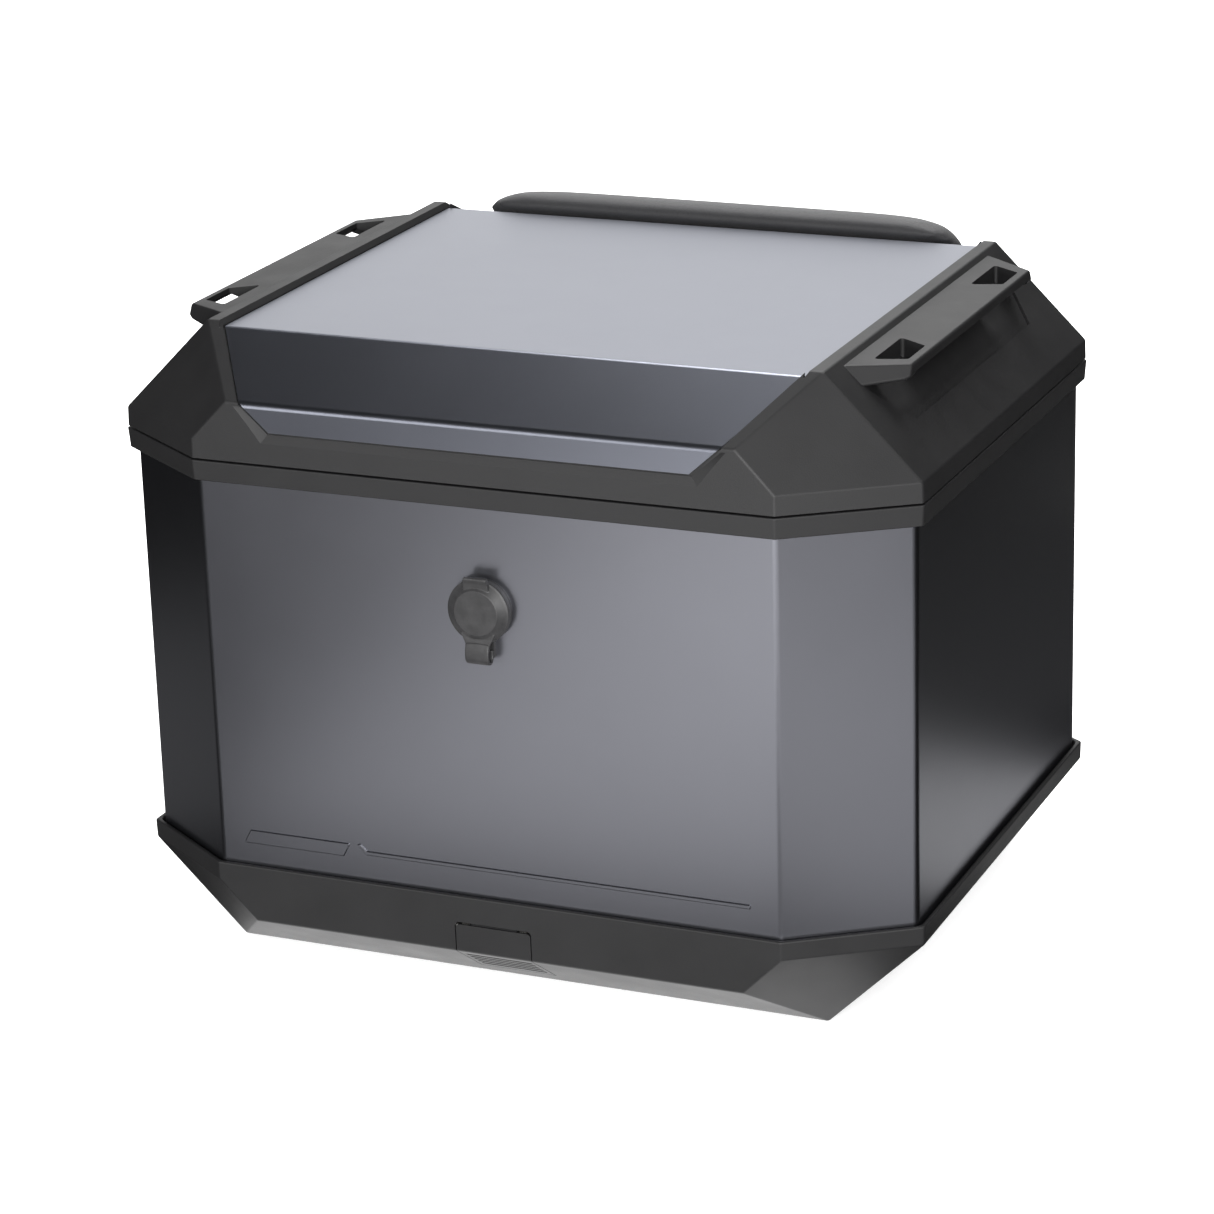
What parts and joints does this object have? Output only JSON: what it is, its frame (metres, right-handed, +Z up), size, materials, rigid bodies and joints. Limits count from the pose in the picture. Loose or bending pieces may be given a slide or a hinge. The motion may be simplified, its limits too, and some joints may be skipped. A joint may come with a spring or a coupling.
{
  "type": "motorcycle top case",
  "caption": "Hard motorcycle top case with a folded aluminium body, hinged faceted lid with backrest and tie-down rails, key lock and a quick-release paddle.",
  "frame": {"origin": "centre of the flat underside", "axes": "+X right and +Z up as seen from the lock side, which faces -Y; the hinges and the rider are on +Y"},
  "size_m": [0.43, 0.3684, 0.3423],
  "materials": {
    "wall_aluminium": "satin gunmetal anodised sheet",
    "panel_aluminium": "satin gunmetal anodised sheet",
    "case_plastic": "fine grained moulded charcoal plastic",
    "fastener_steel": "zinc plated",
    "black_steel": "black powder coat",
    "plated_steel": "zinc plated pressing",
    "latch_polymer": "natural black acetal",
    "lock_metal": "satin die casting",
    "cap_rubber": "matt moulded rubber",
    "seal_rubber": "soft seal rubber",
    "mat_foam": "ribbed rubber mat",
    "lining_felt": "needled felt",
    "backrest_leather": "smooth coated leathercloth"
  },
  "bodies": {
    "case": {"case_wall": "wall_aluminium", "wall_seam_strip": "wall_aluminium", "wall_rivets": "fastener_steel", "bottom_tray": "case_plastic", "tray_rivets": "fastener_steel", "mount_plate": "case_plastic", "mount_plate_screws": "fastener_steel", "hook_cup_left": "latch_polymer", "hook_cup_right": "latch_polymer", "bolt_guide": "latch_polymer", "upper_rim": "case_plastic", "rim_rivets": "fastener_steel", "floor_mat": "mat_foam", "hinge_bracket_left": "black_steel", "hinge_bracket_right": "black_steel", "hinge_pin_left": "fastener_steel", "hinge_pin_right": "fastener_steel", "hinge_case_screws": "fastener_steel", "lock_base_ring": "cap_rubber", "lock_body": "lock_metal", "lock_nut": "plated_steel", "dust_cap_strap": "cap_rubber", "paddle_pin": "fastener_steel", "paddle_spring": "fastener_steel", "latch_housing": "case_plastic", "latch_housing_screws": "fastener_steel"},
    "lid": {"lid_frame": "case_plastic", "lid_panel": "panel_aluminium", "lid_lining": "lining_felt", "lid_gasket": "seal_rubber", "tie_down_rail_left": "case_plastic", "tie_down_rail_right": "case_plastic", "rail_screws": "fastener_steel", "backrest_plate": "case_plastic", "backrest_pad": "backrest_leather", "backrest_screws": "fastener_steel", "lid_striker": "plated_steel", "striker_screws": "fastener_steel", "hinge_leaf_left": "black_steel", "hinge_leaf_right": "black_steel", "hinge_lid_screws": "fastener_steel"},
    "dust_cap": {"dust_cap": "cap_rubber"},
    "lock_plug": {"lock_plug": "lock_metal", "lock_cam": "plated_steel", "cam_screw": "fastener_steel"},
    "release_paddle": {"release_paddle": "case_plastic"},
    "latch_bolt": {"latch_bolt": "latch_polymer"}
  },
  "joints": [
    {"name": "lid_hinge", "type": "hinge", "parent": "case", "child": "lid", "pos_m": [0, 0.181, 0.276], "axis": [-1, 0, 0], "range_deg": [0, 95]},
    {"name": "dust_cap_hinge", "type": "hinge", "parent": "case", "child": "dust_cap", "pos_m": [0, -0.1768, 0.19], "axis": [1, 0, 0], "range_deg": [0, 150], "deforming": ["dust_cap_strap"]},
    {"name": "lock_turn", "type": "hinge", "parent": "case", "child": "lock_plug", "pos_m": [0, -0.16, 0.2125], "axis": [0, -1, 0], "range_deg": [0, 90]},
    {"name": "release_paddle_hinge", "type": "hinge", "parent": "case", "child": "release_paddle", "pos_m": [0, -0.171, 0.041], "axis": [-1, 0, 0], "range_deg": [0, 16], "stiffness_Nm_per_rad": 0.4, "springref_deg": -17.19, "deforming": ["paddle_spring"]},
    {"name": "latch_bolt_slide", "type": "slide", "parent": "case", "child": "latch_bolt", "axis": [0, -1, 0], "range_m": [0, 0.0055]}
  ],
  "couplings": [
    {"joint": "latch_bolt_slide", "follows": "release_paddle_hinge", "m_per_rad": 0.0195}
  ]
}
